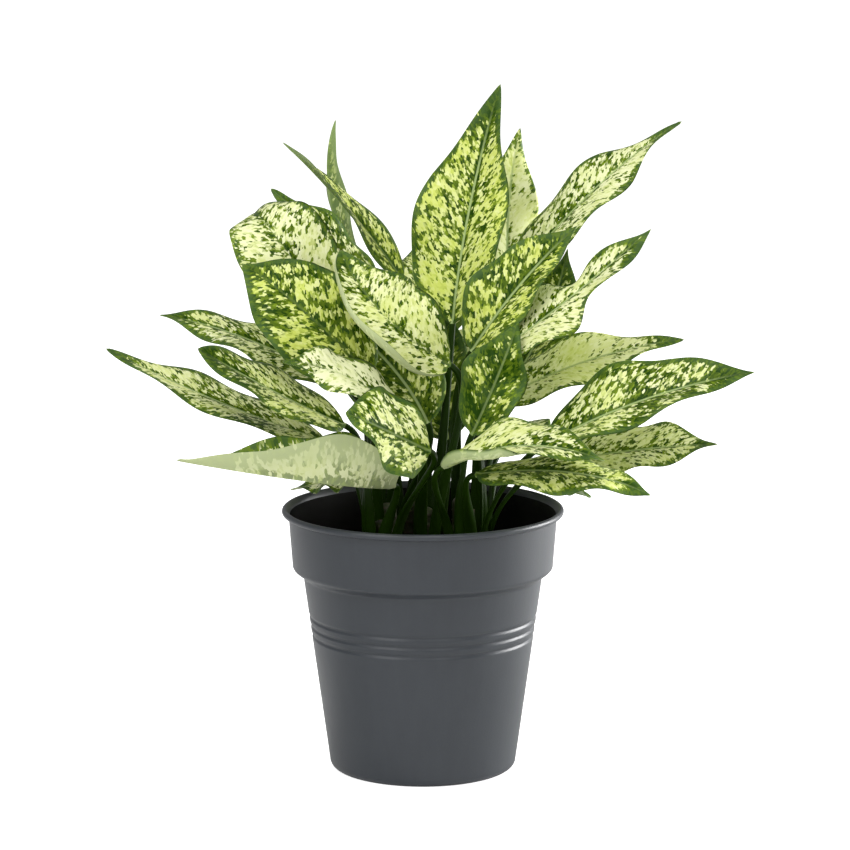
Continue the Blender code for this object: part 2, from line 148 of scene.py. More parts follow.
def make_floor():
    half = FLOOR_SIZE / 2
    mesh = bpy.data.meshes.new("floor")
    mesh.from_pydata([(-half, -half, 0), (half, -half, 0), (half, half, 0), (-half, half, 0)], [], [(0, 1, 2, 3)])
    floor = bpy.data.objects.new("floor", mesh)
    scene.collection.objects.link(floor)
    paint = bpy.data.materials.new("floor_paint")
    paint.use_nodes = True
    shader = paint.node_tree.nodes["Principled BSDF"]
    shader.inputs["Base Color"].default_value = (0.85, 0.85, 0.85, 1.0)
    shader.inputs["Roughness"].default_value = 1.0
    shader.inputs["Specular IOR Level"].default_value = 0.0
    shader.inputs["Emission Color"].default_value = (1.0, 1.0, 1.0, 1.0)
    paint.node_tree.links.new(seen_or_lit(paint.node_tree, FLOOR_SEEN, 0.0), shader.inputs["Emission Strength"])
    mesh.materials.append(paint)


make_world()
make_floor()
soft_light("key", (-0.6, -1.1, 2.5), (0.0, 0.0, 0.25), 1.8, 42.0)
soft_light("front_left", (-1.5, -2.0, 1.1), (0.0, 0.0, 0.25), 1.6, 22.0)
soft_light("front_right", (0.9, -2.2, 1.9), (0.0, 0.0, 0.25), 1.4, 20.0)
soft_light("right_side", (1.9, 0.70, 0.45), (0.0, 0.0, 0.12), 1.2, 76.0)

# %% [markdown]
# ## Nodes written as sums
#
# Both the shapes and the finishes below are node trees with many small sums. Written out link by link they would
# be hard to read. A Field wraps a node's output, and adding or multiplying two Fields adds the matching node.

# %% The helper for node trees


class Field:
    """A node's output that can be used in sums. Each sum adds one node to the same tree."""

    def __init__(self, tree, socket):
        self.tree = tree
        self.socket = socket

    def is_vector(self):
        return self.socket.type == "VECTOR"

    def __add__(self, other):
        return combine(self.tree, "ADD", self, other)

    def __radd__(self, other):
        return combine(self.tree, "ADD", other, self)

    def __sub__(self, other):
        return combine(self.tree, "SUBTRACT", self, other)

    def __rsub__(self, other):
        return combine(self.tree, "SUBTRACT", other, self)

    def __mul__(self, other):
        return combine(self.tree, "MULTIPLY", self, other)

    def __rmul__(self, other):
        return combine(self.tree, "MULTIPLY", self, other)

    def __truediv__(self, other):
        return combine(self.tree, "DIVIDE", self, other)

    def __pow__(self, other):
        return combine(self.tree, "POWER", self, other)

    def does(self, operation, other=None):
        return combine(self.tree, operation, self, other)


def feed(tree, socket, value):
    """Links a Field to a socket, or sets a plain value there."""
    if isinstance(value, Field):
        tree.links.new(value.socket, socket)
    elif value is not None:
        socket.default_value = value


def add_node(tree, kind, inputs=(), output=0, **settings):
    """Adds a node, feeds its inputs by place or by name, and gives back one output as a Field."""
    node = tree.nodes.new(kind)
    for key, value in settings.items():
        setattr(node, key, value)
    pairs = inputs.items() if isinstance(inputs, dict) else enumerate(inputs)
    for key, value in pairs:
        feed(tree, node.inputs[key], value)
    return Field(tree, node.outputs[output])


def combine(tree, operation, first, second):
    """One math node: vector math where a vector takes part, and a scaling where a number meets a vector."""
    vectors = [isinstance(v, Field) and v.is_vector() or isinstance(v, tuple) for v in (first, second)]
    if not any(vectors):
        return add_node(tree, "ShaderNodeMath", (first, second), operation=operation)
    if operation == "MULTIPLY" and not all(vectors):
        vector, number = (first, second) if vectors[0] else (second, first)
        return add_node(tree, "ShaderNodeVectorMath", {0: vector, "Scale": number}, operation="SCALE")
    output = "Value" if operation in ("DOT_PRODUCT", "LENGTH") else "Vector"
    return add_node(tree, "ShaderNodeVectorMath", (first, second), output, operation=operation)


def smooth(value, low, high):
    """0 below low, 1 above high, and a smooth step between them."""
    return add_node(value.tree, "ShaderNodeMapRange", (value, low, high), interpolation_type="SMOOTHSTEP")


def ramp(value, low, high):
    """0 below low, 1 above high, and a straight line between them."""
    return add_node(value.tree, "ShaderNodeMapRange", (value, low, high))


def blend(first, second, share):
    return first + (second - first) * share


def split(vector):
    node = vector.tree.nodes.new("ShaderNodeSeparateXYZ")
    feed(vector.tree, node.inputs[0], vector)
    return [Field(vector.tree, socket) for socket in node.outputs]


def join(tree, x, y, z):
    return add_node(tree, "ShaderNodeCombineXYZ", (x, y, z))


def noise(tree, place, scale, detail=2.0, rough=0.5, lacunarity=2.0, distortion=0.0):
    inputs = {"Vector": place, "Scale": scale, "Detail": detail, "Roughness": rough,
              "Lacunarity": lacunarity, "Distortion": distortion}
    return add_node(tree, "ShaderNodeTexNoise", inputs)


# %% [markdown]
# ## Where the leaves are
#
# Each leaf is a stalk that stands beside its cane, and a blade whose midrib runs on from the stalk. These are
# the same design values that the plain model was made from: three points on the midrib, and a few numbers for
# how the blade is turned, folded, curled and rippled, how far its tip is drawn in, and how much of its margins
# is rolled up as a brim. Three more say how pale and how yellow its pattern is, and how pale its rib. Pale and
# yellow are partly painted light and shade: pale is raised on leaves that lie in shade, and yellow, which turns
# the cream to a darker lime, is raised as painted shade on inner leaves and on leaves that catch much light.

# %% The leaf list
CANE_RADIUS = 0.0067
PETIOLE_FOOT_RADIUS = 0.0029
PETIOLE_TOP_RADIUS = 0.0019
PETIOLE_LEAN = 0.16
FOOT_REACH = 0.45
BLADE_REACH = 0.24
TOUCH_GAP = 0.0004

CANES = {
    "left_front": (-0.024, -0.020, 0.156),
    "right_front": (0.024, -0.022, 0.156),
    "middle": (0.001, 0.000, 0.160),
    "left_back": (-0.022, 0.022, 0.158),
    "right_back": (0.030, 0.012, 0.156),
    "outer_back": (0.024, 0.043, 0.158),
    "back": (-0.007, 0.043, 0.156),
}

Leaf = namedtuple(
    "Leaf",
    "name cane foot_z foot_turn base middle tip width roll fold phase pale yellow"
    " wave twist left right drawn waist brim_left brim_right brim_end rib",
    defaults=(0.003, 0, -0.16, -0.16, 0.4, 0.0, 0.0, 0.0, 1.0, 0.85),
)
LEAVES = (
    Leaf("tall", "middle", 0.148, 50, (0.018, 0.020, 0.268), (0.028, 0.038, 0.334),
         (0.047, 0.055, 0.410), 0.066, 5, 18, 0.1, 0.62, 0.8, left=-0.05, right=-0.05, drawn=0.5),
    Leaf("pale_back", "outer_back", 0.142, 350, (0.055, 0.062, 0.259), (0.052, 0.077, 0.322),
         (0.060, 0.089, 0.380), 0.044, 30, 12, 0.3, 1.3, 0.4),
    Leaf("high_right", "right_back", 0.137, 75, (0.057, 0.048, 0.294), (0.106, 0.062, 0.346),
         (0.158, 0.068, 0.386), 0.054, 17, 14, 0.0, 0.75, 0.2, drawn=0.85),
    Leaf("middle_right", "middle", 0.140, 0, (0.029, -0.010, 0.256), (0.057, -0.010, 0.295),
         (0.092, -0.004, 0.331), 0.048, 40, 24, 0.5, 0.45, 0.8, left=-0.05, right=-0.05),
    Leaf("wavy_right", "right_front", 0.138, 30, (0.044, -0.031, 0.260), (0.084, -0.030, 0.289),
         (0.135, -0.018, 0.331), 0.060, 20, 12, 0.3, 0.8, 0.25, wave=0.005, drawn=0.5, waist=0.45),
    Leaf("behind_right", "outer_back", 0.137, 28, (0.054, 0.068, 0.223), (0.077, 0.088, 0.261),
         (0.090, 0.098, 0.304), 0.054, 0, 14, 0.6, 0.3, 0.6),
    Leaf("flat_right", "right_back", 0.137, 308, (0.043, 0.004, 0.223), (0.098, 0.004, 0.248),
         (0.157, 0.006, 0.261), 0.050, 26, 14, 0.1, 0.95, 0.35, drawn=0.6),
    Leaf("big_right", "right_front", 0.137, 348, (0.073, -0.040, 0.206), (0.131, -0.055, 0.235),
         (0.194, -0.060, 0.252), 0.060, 30, 24, 0.4, 0.42, 0.35),
    Leaf("low_right", "right_back", 0.137, 350, (0.083, 0.020, 0.184), (0.132, 0.010, 0.193),
         (0.177, -0.005, 0.199), 0.052, 26, 14, 0.7, 0.8, 0.4),
    Leaf("lowest_right", "right_front", 0.137, 301, (0.031, -0.064, 0.192), (0.086, -0.085, 0.197),
         (0.132, -0.092, 0.185), 0.046, 18, 8, 0.3, 0.5, 0.55),
    Leaf("under_right", "right_back", 0.137, 30, (0.051, 0.050, 0.173), (0.079, 0.066, 0.161),
         (0.105, 0.076, 0.151), 0.044, 5, 14, 0.1, 0.45, 0.3),
    Leaf("folded_right", "right_front", 0.137, 225, (0.012, -0.070, 0.198), (0.057, -0.092, 0.214),
         (0.105, -0.102, 0.207), 0.056, 20, 14, 0.5, 0.7, 0.35, right=0.0, brim_right=0.35, brim_end=0.45),
    Leaf("front", "right_front", 0.140, 262, (0.029, -0.039, 0.211), (0.045, -0.045, 0.249),
         (0.056, -0.044, 0.279), 0.044, 65, 18, 0.2, 0.0, 0.6, drawn=0.8, rib=0.35),
    Leaf("facing_left", "middle", 0.137, 305, (0.016, -0.034, 0.252), (-0.024, -0.052, 0.286),
         (-0.049, -0.024, 0.319), 0.060, -46, 14, 0.4, 0.75, 0.4, brim_left=0.45, drawn=0.1, rib=0.15),
    Leaf("big_left", "left_front", 0.142, 185, (-0.030, -0.020, 0.242), (-0.072, -0.028, 0.285),
         (-0.107, -0.012, 0.309), 0.064, -58, 14, 0.1, 0.45, 0.8, rib=0.1),
    Leaf("back_left", "left_back", 0.142, 240, (-0.047, 0.012, 0.263), (-0.087, 0.002, 0.323),
         (-0.102, 0.042, 0.332), 0.058, -50, 12, 0.6, 0.75, 0.25, drawn=-0.2, rib=0.1),
    Leaf("thin_left", "middle", 0.137, 90, (-0.012, 0.030, 0.293), (-0.048, 0.028, 0.341),
         (-0.084, 0.022, 0.378), 0.044, -10, 16, 0.3, 0.5, 0.75, wave=0.001, twist=52, rib=0.3),
    Leaf("narrow_left", "back", 0.144, 175, (-0.038, 0.092, 0.282), (-0.057, 0.104, 0.338),
         (-0.054, 0.108, 0.383), 0.036, 64, 20, 0.2, 0.4, 0.6, wave=0.001, rib=0.3),
    Leaf("tip_left", "left_back", 0.140, 72, (-0.031, 0.052, 0.278), (-0.061, 0.062, 0.314),
         (-0.093, 0.066, 0.345), 0.046, -22, 14, 0.5, 0.35, 0.3),
    Leaf("out_left", "left_back", 0.137, 196, (-0.044, 0.020, 0.227), (-0.103, 0.030, 0.256),
         (-0.160, 0.032, 0.272), 0.054, -16, 12, 0.0, 0.58, 0.35, drawn=0.25),
    Leaf("far_left", "left_front", 0.137, 140, (-0.057, -0.012, 0.202), (-0.125, -0.020, 0.229),
         (-0.188, -0.022, 0.260), 0.052, -14, 14, 0.5, 0.62, 0.3, wave=0.002, drawn=0.1),
    Leaf("inner_left", "left_front", 0.137, 228, (-0.046, -0.030, 0.215), (-0.089, -0.042, 0.238),
         (-0.132, -0.048, 0.264), 0.053, -21, 14, 0.7, 0.55, 0.45, drawn=-1.0, wave=0.0015),
    Leaf("low_left", "left_front", 0.137, 270, (-0.017, -0.045, 0.182), (-0.064, -0.075, 0.191),
         (-0.143, -0.088, 0.205), 0.033, -6, 42, 0.2, 0.75, 0.1, drawn=0.8, left=0.95, right=0.6, rib=0.2),
    Leaf("under_left", "left_back", 0.137, 150, (-0.036, 0.038, 0.169), (-0.053, 0.046, 0.167),
         (-0.082, 0.052, 0.160), 0.044, -10, 14, 0.1, 0.7, 0.2),
    Leaf("white_left", "middle", 0.137, 255, (-0.009, -0.058, 0.227), (-0.048, -0.078, 0.254),
         (-0.081, -0.084, 0.262), 0.041, -34, 12, 0.3, 0.97, 0, rib=0.3),
    Leaf("front_left", "left_front", 0.137, 315, (0.004, -0.076, 0.208), (-0.023, -0.103, 0.226),
         (-0.044, -0.118, 0.238), 0.056, -56, 12, 0.6, 0.45, 0.35, twist=30, rib=0.3),
    Leaf("inside_left", "left_back", 0.137, 318, (0.003, 0.006, 0.210), (-0.014, 0.009, 0.238),
         (-0.040, 0.016, 0.264), 0.046, -62, 14, 0.2, 0.35, 0.6),
    Leaf("inside_middle", "back", 0.140, 300, (0.016, 0.041, 0.194), (0.011, 0.041, 0.228),
         (0.016, 0.042, 0.269), 0.042, 4, 14, 0.8, 0.1, 0.6, drawn=-0.6),
    Leaf("rear_high", "back", 0.138, 50, (0.004, 0.086, 0.245), (0.004, 0.116, 0.282),
         (0.000, 0.150, 0.300), 0.056, 0, 14, 0.0, 0.6, 0.4),
    Leaf("rear_left", "left_back", 0.137, 110, (-0.040, 0.064, 0.236), (-0.068, 0.096, 0.262),
         (-0.096, 0.128, 0.272), 0.054, 0, 14, 0.5, 0.65, 0.35),
    Leaf("rear_right", "outer_back", 0.137, 104, (0.026, 0.088, 0.220), (0.040, 0.126, 0.244),
         (0.056, 0.164, 0.246), 0.052, 0, 14, 0.3, 0.6, 0.4),
    Leaf("rear_low_left", "back", 0.137, 135, (-0.020, 0.082, 0.198), (-0.034, 0.125, 0.214),
         (-0.048, 0.168, 0.206), 0.048, 0, 14, 0.6, 0.55, 0.35),
    Leaf("rear_low", "back", 0.137, 92, (-0.002, 0.088, 0.190), (-0.002, 0.134, 0.206),
         (0.000, 0.182, 0.196), 0.050, 0, 14, 0.1, 0.65, 0.4),
    Leaf("rear_low_right", "outer_back", 0.137, 66, (0.046, 0.078, 0.176), (0.058, 0.116, 0.188),
         (0.066, 0.156, 0.180), 0.048, 0, 14, 0.4, 0.6, 0.3),
)
print("leaves:", len(LEAVES), "canes:", len(CANES))

# %% [markdown]
# ## The rule for a leaf
#
# All the leaves follow one rule, so Geometry Nodes make them. The tree starts from a flat grid. One side of the
# grid runs along the leaf, from the stalk's foot to the blade's tip. The other runs round it, over the upper face
# and back along the lower one. Each point of the grid is then moved to its place, which gives one closed skin.
#
# The stalk is a half-round with a shallow channel, and its lower part is a sheath that clasps the cane. The blade
# has a rounded base and a drawn-out tip, a raised rib below, a channel above, and shallow furrows at its side
# veins. The tree also stores on each point where it lies on the leaf, which the finish needs later.

# %% The leaf tree: inputs and curves
ROUND_STEPS = 72
LENGTH_STEPS = 108
STALK_SHARE = 0.24
THICKNESS = 0.0007
RIB_DEPTH = 0.0022
TIP_HALF_WIDTH = 0.0007
TIP_START = 0.62
WAIST_PLACE = 0.58
WAIST_LENGTH = 0.10
BRIM_TURN = 2.3
BRIM_FADE = 0.12
WAVES = 2.3
VEIN_SPACING = 0.0075
VEIN_SLOPE = 1.25
VEIN_DEPTH = 0.00035
CLOSE_LENGTH = 0.012

LEAF_INPUTS = {
    "Foot": "Vector", "Foot Handle": "Vector", "Blade Handle": "Vector", "Base": "Vector",
    "Middle": "Vector", "Tip": "Vector", "Out": "Vector", "Width": "Float", "Length": "Float",
    "Roll": "Float", "Twist": "Float", "Fold": "Float", "Left": "Float", "Right": "Float",
    "Wave": "Float", "Phase": "Float", "Drawn": "Float", "Waist": "Float", "Brim Left": "Float",
    "Brim Right": "Float", "Brim End": "Float", "Pale": "Float", "Yellow": "Float", "Rib": "Float",
    "Seed": "Float", "Material": "Material",
}


def new_tree(name, inputs):
    """A Geometry Nodes tree with named inputs, and those inputs as Fields."""
    tree = bpy.data.node_groups.new(name, "GeometryNodeTree")
    tree.interface.new_socket("Geometry", in_out="OUTPUT", socket_type="NodeSocketGeometry")
    for label, kind in inputs.items():
        tree.interface.new_socket(label, in_out="INPUT", socket_type="NodeSocket" + kind)
    entry = tree.nodes.new("NodeGroupInput")
    return tree, {label: Field(tree, entry.outputs[label]) for label in inputs}


def cubic(t, a, b, c, d):
    """A point on a cubic Bezier, and its direction."""
    u = 1.0 - t
    point = a * (u * u * u) + b * (u * u * t * 3.0) + c * (u * t * t * 3.0) + d * (t * t * t)
    slope = (b - a) * (u * u) + (c - b) * (u * t * 2.0) + (d - c) * (t * t)
    return point, slope.does("NORMALIZE")


def quadratic(t, a, b, c):
    u = 1.0 - t
    point = a * (u * u) + b * (u * t * 2.0) + c * (t * t)
    slope = (b - a) * u + (c - b) * t
    return point, slope.does("NORMALIZE")


# %% The leaf tree: turned frames along the leaf


def leaf_frames(tree, given, stalk_t, blade_t):
    """Centre, along, across and up directions at each step of the leaf."""
    stalk, stalk_along = cubic(
        stalk_t, given["Foot"], given["Foot Handle"], given["Blade Handle"], given["Base"])
    midrib, blade_along = quadratic(blade_t, given["Base"], given["Middle"], given["Tip"])
    centre = stalk + midrib - given["Base"]
    on_blade = blade_t.does("GREATER_THAN", 0.0)
    along = blend(stalk_along, blade_along, on_blade).does("NORMALIZE")
    chord = (given["Tip"] - given["Base"]).does("NORMALIZE")
    level = chord.does("CROSS_PRODUCT", (0.0, 0.0, 1.0)).does("NORMALIZE")
    angle = given["Roll"] + given["Twist"] * (blade_t - 0.5)
    turned = add_node(tree, "ShaderNodeVectorRotate", {"Vector": level, "Axis": chord, "Angle": angle})
    clasping = given["Out"].does("CROSS_PRODUCT", (0.0, 0.0, 1.0))
    side = clasping.does("DOT_PRODUCT", level).does("SIGN")
    across = blend(clasping * side, turned, smooth(stalk_t, 0.1, 0.95))
    across = (across - along * along.does("DOT_PRODUCT", across)).does("NORMALIZE")
    return centre, across, across.does("CROSS_PRODUCT", along), side


# %% The leaf tree: the stalk's and the blade's sections


def half_width(given, t):
    """Half the blade's width: a rounded base, a drawn-in tip, and on some leaves a waist."""
    outline = ((t ** 0.75) * math.pi).does("SINE").does("MAXIMUM", 0.0) ** 0.8
    past = ramp(t, TIP_START, 1.0) ** 1.3
    off_waist = (t - WAIST_PLACE) * (1 / WAIST_LENGTH)
    waist = 1.0 - given["Waist"] * (0.0 - off_waist * off_waist).does("EXPONENT")
    half = given["Width"] * 0.5 * outline * (1.0 - past * given["Drawn"]) * waist
    return half.does("MAXIMUM", TIP_HALF_WIDTH)


def stalk_section(stalk_t, turn, side):
    """Sideways and upward offsets of a half-round stalk with a channel, widened to a sheath at its foot."""
    sheath = 1.0 - smooth(stalk_t, 0.2, 0.6)
    radius = PETIOLE_FOOT_RADIUS + (stalk_t ** 0.7) * (PETIOLE_TOP_RADIUS - PETIOLE_FOOT_RADIUS)
    radius = radius * (ramp(stalk_t, 0.0, CLOSE_LENGTH) ** 0.5)
    sideways = radius * turn.does("COSINE") * (sheath * 0.55 + 1.0)
    upward = radius * turn.does("SINE") * (1.0 - sheath * 0.45)
    channel = (turn.does("SINE").does("MAXIMUM", 0.0) ** 3.0) * radius * 0.35
    clasp = sideways * sideways * sheath * side * 70.0
    return sideways, upward - channel + clasp


def blade_height(given, t, s, half):
    """How far the blade's middle surface stands above its midrib."""
    right = s.does("GREATER_THAN", 0.0)
    lift = half * s.does("ABSOLUTE") * given["Fold"].does("TANGENT")
    curl = half * s * s * blend(given["Left"], given["Right"], right)
    phase = given["Phase"] + right * 0.37
    arch = (t * math.pi).does("SINE").does("MAXIMUM", 0.0) ** 0.5
    ripple = given["Wave"] * s * s * ((t * WAVES + phase) * math.tau).does("SINE")
    return lift + curl + ripple * arch


def margin_roll(given, t, s, half):
    """Distance from the midrib, rise and tilt of the blade, whose margin can be rolled up as a brim."""
    away = s.does("ABSOLUTE") * half
    brim = blend(given["Brim Left"], given["Brim Right"], s.does("GREATER_THAN", 0.0)) * half
    brim = brim * ramp(t, given["Brim End"] + BRIM_FADE, given["Brim End"])
    past = (away - half + brim).does("MAXIMUM", 0.0)
    radius = (brim / BRIM_TURN).does("MAXIMUM", 0.00001)
    angle = past / radius
    side = away - past + radius * angle.does("SINE")
    return side, radius * (1.0 - angle.does("COSINE")), angle


def vein_relief(given, t, s, half):
    """Shallow furrows where the side veins run from the midrib towards the margin."""
    reach = t * given["Length"] - s.does("ABSOLUTE") * half * VEIN_SLOPE
    wave = (reach * (math.pi / VEIN_SPACING)).does("SINE").does("ABSOLUTE") ** 0.6
    fade = smooth(s.does("ABSOLUTE"), 0.03, 0.2) * (1.0 - smooth(s.does("ABSOLUTE"), 0.7, 1.0))
    return wave * fade * (1.0 - smooth(t, 0.7, 0.95)) * VEIN_DEPTH


def blade_section(given, t, s, half, upper):
    """Sideways and upward offsets of the blade's skin."""
    sideways = s * half
    side, rise, angle = margin_roll(given, t, s, half)
    edge = (1.0 - s.does("ABSOLUTE") ** 6.0).does("MAXIMUM", 0.0) ** 0.5
    rib_radius = (1.0 - t).does("MAXIMUM", 0.0) ** 0.6 * 0.0021 + 0.0002
    ratio = (sideways / rib_radius).does("MINIMUM", 1.0).does("MAXIMUM", -1.0)
    bulge = (1.0 - ratio * ratio).does("MAXIMUM", 0.0) ** 0.5
    depth = (1.0 - t).does("MAXIMUM", 0.0) ** 0.7
    below = edge * (THICKNESS / 2) + bulge * depth * RIB_DEPTH
    above = edge * (THICKNESS / 2) - (0.0 - ratio * ratio * 2.5).does("EXPONENT") * depth * 0.0005
    skin = blend(0.0 - below, above, upper)
    closing = ramp(1.0 - t, 0.0, CLOSE_LENGTH) ** 0.5
    tilt = given["Fold"] * (1.0 - bulge) + angle
    height = blade_height(given, t, s, half) + vein_relief(given, t, s, half) + rise + skin * tilt.does("COSINE")
    return s.does("SIGN") * (side - skin * tilt.does("SINE")) * closing, height * closing


# %% The leaf tree: from grid to leaf


def store(tree, geometry, name, value):
    inputs = {"Geometry": geometry, "Name": name, "Value": value}
    return add_node(tree, "GeometryNodeStoreNamedAttribute", inputs, data_type="FLOAT_VECTOR")


def leaf_tree():
    tree, given = new_tree("leaf_rule", LEAF_INPUTS)
    grid = add_node(tree, "GeometryNodeMeshGrid", (1.0, 1.0, ROUND_STEPS + 1, LENGTH_STEPS + 1))
    x, y, _ = split(add_node(tree, "GeometryNodeInputPosition"))
    turn, share = x + 0.5, y + 0.5
    stalk_t = ramp(share, 0.0, STALK_SHARE)
    blade_t = ramp(share, STALK_SHARE, 1.0) ** 1.2
    upper = turn.does("LESS_THAN", 0.5001)
    even = 1.0 - (turn * 4.0 - 2.0).does("ABSOLUTE")
    s = even.does("SIGN") * even.does("ABSOLUTE") ** 1.3
    half = half_width(given, blade_t)
    centre, across, up, side = leaf_frames(tree, given, stalk_t, blade_t)
    stalk_side, stalk_up = stalk_section(stalk_t, (1.0 - turn * 2.0) * math.pi, side)
    blade_side, blade_up = blade_section(given, blade_t, s, half, upper)
    spread = smooth(blade_t, 0.0, 0.03)
    place = centre + across * blend(stalk_side, blade_side, spread) + up * blend(stalk_up, blade_up, spread)
    on_leaf = join(tree, s * half, blade_t * given["Length"], given["Seed"])
    margin = join(tree, (1.0 - s.does("ABSOLUTE")) * half, blade_t, upper)
    looks = join(tree, given["Pale"], given["Yellow"], given["Rib"])
    made = store(tree, grid, "leaf_place", on_leaf)
    made = store(tree, made, "leaf_margin", margin)
    made = store(tree, made, "leaf_looks", looks)
    made = add_node(tree, "GeometryNodeSetPosition", {"Geometry": made, "Position": place})
    made = add_node(tree, "GeometryNodeMergeByDistance", {"Geometry": made, "Distance": 1e-6})
    made = add_node(tree, "GeometryNodeSetShadeSmooth", {"Geometry": made})
    made = add_node(tree, "GeometryNodeRealizeInstances", {"Geometry": made})
    made = add_node(tree, "GeometryNodeSetMaterial", {"Geometry": made, "Material": given["Material"]})
    leave = tree.nodes.new("NodeGroupOutput")
    feed(tree, leave.inputs["Geometry"], made)
    return tree


LEAF_TREE = leaf_tree()
print("leaf rule:", len(LEAF_TREE.nodes), "nodes")

# %% [markdown]
# ## The leaf's finish
#
# An aglaonema leaf is dark green with cream splashes. The splashes have ragged, sharp edges and follow the side
# veins. The margin, the midrib and the tip stay green. So the finish compares a fine ragged noise, stretched
# along the veins, with a slow field that says how much cream belongs there. Where the noise wins, it is cream.

# %% The leaf finish
DARK_GREEN = (0.013, 0.042, 0.001, 1.0)
COOL_GREEN = (0.065, 0.120, 0.030, 1.0)
MID_GREEN = (0.170, 0.250, 0.014, 1.0)
LIME = (0.530, 0.600, 0.120, 1.0)
CREAM = (0.730, 0.750, 0.460, 1.0)
UNDERSIDE = (0.240, 0.330, 0.120, 1.0)
PALE_UNDERSIDE = (0.560, 0.600, 0.340, 1.0)
STALK_GREEN_PAINTED_SHADE = (0.009, 0.025, 0.001, 1.0)
RIB_GREEN = (0.330, 0.420, 0.170, 1.0)
MILLIMETRE = 1000.0


def new_material(name):
    """A material with an empty Principled shader, which the caller finishes."""
    material = bpy.data.materials.new(name)
    material.use_nodes = True
    return material, material.node_tree, material.node_tree.nodes["Principled BSDF"]


def mix_colour(tree, first, second, share):
    node = tree.nodes.new("ShaderNodeMix")
    node.data_type = "RGBA"
    for place, value in ((0, share), (6, first), (7, second)):
        feed(tree, node.inputs[place], value)
    return Field(tree, node.outputs[2])


def read(tree, name):
    """The three numbers of a stored vector."""
    return split(add_node(tree, "ShaderNodeAttribute", output="Vector", attribute_name=name))


def make_leaf_material():
    material, tree, shader = new_material("leaf_variegated")
    across, along, seed = read(tree, "leaf_place")
    margin, t, upper = read(tree, "leaf_margin")
    pale, yellow, pale_rib = read(tree, "leaf_looks")
    distance = across.does("ABSOLUTE") * MILLIMETRE
    length = along * MILLIMETRE
    inset = margin * MILLIMETRE
    layer = seed * 17.0 + across.does("SIGN") * 3.1
    vein_across = length * 0.62 - distance * 0.78
    vein_along = length * 0.78 + distance * 0.62
    cell = {"Vector": join(tree, vein_across, vein_along * 0.50, layer), "Scale": 1.0}
    cell = add_node(tree, "ShaderNodeTexVoronoi", cell, output="Position")
    fine = noise(tree, cell, 0.38, 3.0, 0.66)
    slow = noise(tree, join(tree, vein_across, vein_along * 0.6, layer + 7.0), 0.06, 2.0, 0.5)
    green_noise = noise(tree, cell + (0.0, 0.0, 31.0), 0.45, 3.0, 0.6)
    # Each leaf's pale value sets its share of cream. This is partly the leaf's own pattern and partly painted light,
    # since pale is raised on leaves that lie in shade.
    share = pale * 0.40 + (slow - 0.5) * 0.7 + 0.30
    share = share - (1.0 - smooth(inset, 0.6, 6.0)) * 0.33
    share = share - (1.0 - smooth(distance, 0.6, 4.5)) * (0.30 - pale * 0.12)
    share = share - smooth(t, 0.76, 0.98) * (0.46 - pale * 0.24) - (1.0 - smooth(t, 0.0, 0.10)) * 0.15
    level = fine + (share - 0.5) * 0.46
    splash = ramp(level, 0.485, 0.522)
    half_tone = ramp(level, 0.410, 0.490) * 0.65 + ramp(green_noise, 0.48, 0.58) * 0.35
    cool = smooth(inset, 7.0, 1.0) * 0.6 + ramp(slow, 0.46, 0.60) * 0.4
    green = mix_colour(tree, DARK_GREEN, COOL_GREEN, cool)
    green = mix_colour(tree, green, MID_GREEN, half_tone.does("MINIMUM", 1.0))
    # The tint turns the cream to a darker lime. This is partly the leaf's own tone and random, and partly painted
    # shade through each leaf's yellow value.
    tint = yellow + (slow - 0.5) * 1.2 + (green_noise - 0.5) * 1.6
    tint = tint.does("MINIMUM", 1.0).does("MAXIMUM", 0.0)
    cream = mix_colour(tree, CREAM, LIME, tint)
    cream = mix_colour(tree, cream, MID_GREEN, ramp(green_noise, 0.54, 0.66) * 0.35)
    colour = mix_colour(tree, green, cream, splash)
    rib = 1.0 - smooth(distance, 0.45, 1.15)
    colour = mix_colour(tree, colour, RIB_GREEN, rib * (1.0 - smooth(t, 0.6, 1.0)) * pale_rib)
    below = mix_colour(tree, UNDERSIDE, PALE_UNDERSIDE, smooth(pale, 0.55, 0.85))
    below = mix_colour(tree, colour, below, 0.80 - smooth(inset, 4.0, 10.0) * 0.35)
    colour = mix_colour(tree, below, colour, upper)
    # The stalk and its sheath take a very dark green. This is their own green darkened as painted shade, for the
    # shade between the stalks and inside the pot.
    colour = mix_colour(tree, colour, STALK_GREEN_PAINTED_SHADE, 1.0 - smooth(t, 0.0, 0.004))
    feed(tree, shader.inputs["Base Color"], colour)
    relief = fine * 0.25 + noise(tree, join(tree, vein_across, vein_along, layer), 1.6, 2.0, 0.5) * 0.3
    bump = add_node(tree, "ShaderNodeBump", {"Strength": 0.35, "Distance": 0.0004, "Height": relief},
                    output="Normal")
    feed(tree, shader.inputs["Normal"], bump)
    feed(tree, shader.inputs["Roughness"], 0.36 + (green_noise - 0.5) * 0.3)
    shader.inputs["Specular IOR Level"].default_value = 0.06
    return material


LEAF_MATERIAL = make_leaf_material()
print("leaf finish:", len(LEAF_MATERIAL.node_tree.nodes), "nodes")

# %% [markdown]
# ## Making the leaves
#
# One object is made for each leaf. The tree runs as its modifier, the result is taken over as a plain mesh, and
# the modifier goes. Each leaf then takes the place of its plain solid.

# %% Make the leaves


def run_tree(name, tree, values):
    """Runs a tree with its values on an empty object and keeps the result as a plain mesh."""
    obj = bpy.data.objects.new(name, bpy.data.meshes.new(name + "_start"))
    scene.collection.objects.link(obj)
    modifier = obj.modifiers.new("rule", "NODES")
    modifier.node_group = tree
    for item in tree.interface.items_tree:
        if item.in_out == "INPUT":
            modifier[item.identifier] = values[item.name]
    graph = bpy.context.evaluated_depsgraph_get()
    mesh = bpy.data.meshes.new_from_object(obj.evaluated_get(graph), depsgraph=graph)
    obj.modifiers.remove(modifier)
    mesh.name = name
    obj.data = mesh
    return obj


